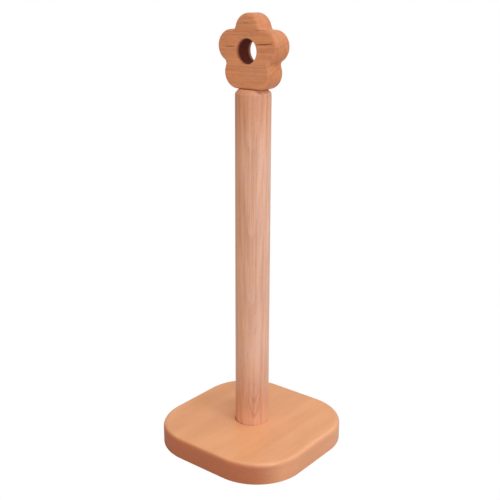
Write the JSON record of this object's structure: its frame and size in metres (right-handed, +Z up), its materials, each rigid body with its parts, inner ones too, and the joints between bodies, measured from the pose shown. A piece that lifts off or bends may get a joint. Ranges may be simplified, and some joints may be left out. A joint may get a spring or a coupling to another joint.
{
  "type": "paper towel holder",
  "caption": "Free-standing wooden paper towel holder: round post on a rounded square base board, topped by a flower finial with a finger hole that unscrews to load a roll.",
  "frame": {"origin": "on the surface that the holder stands on, under the post's axis", "axes": "+Z up along the post; the flower's flat front face and one side of the board face -Y; +X to the right of that face"},
  "size_m": [0.132, 0.132, 0.3546],
  "materials": {
    "board_wood": "satin",
    "post_wood": "satin",
    "flower_wood": "satin",
    "zinc_steel": "satin",
    "brass": "satin",
    "pad_rubber": "matt"
  },
  "bodies": {
    "stand": {"base_board": "board_wood", "post": "post_wood", "base_bolt": "zinc_steel", "base_washer": "zinc_steel", "post_foot_insert": "brass", "post_top_insert": "brass", "foot_pad_front_left": "pad_rubber", "foot_pad_front_right": "pad_rubber", "foot_pad_back_left": "pad_rubber", "foot_pad_back_right": "pad_rubber"},
    "stud": {"finial_stud": "zinc_steel"},
    "finial": {"flower_finial": "flower_wood"}
  },
  "joints": [
    {"name": "finial_rise", "type": "slide", "parent": "stand", "child": "stud", "axis": [0, 0, 1], "range_m": [0, 0.01532]},
    {"name": "finial_turn", "type": "hinge", "parent": "stud", "child": "finial", "pos_m": [0, 0, 0.2991], "axis": [0, 0, 1], "range_deg": [0, 4410]}
  ],
  "couplings": [
    {"joint": "finial_rise", "follows": "finial_turn", "m_per_rad": 0.00019894}
  ]
}
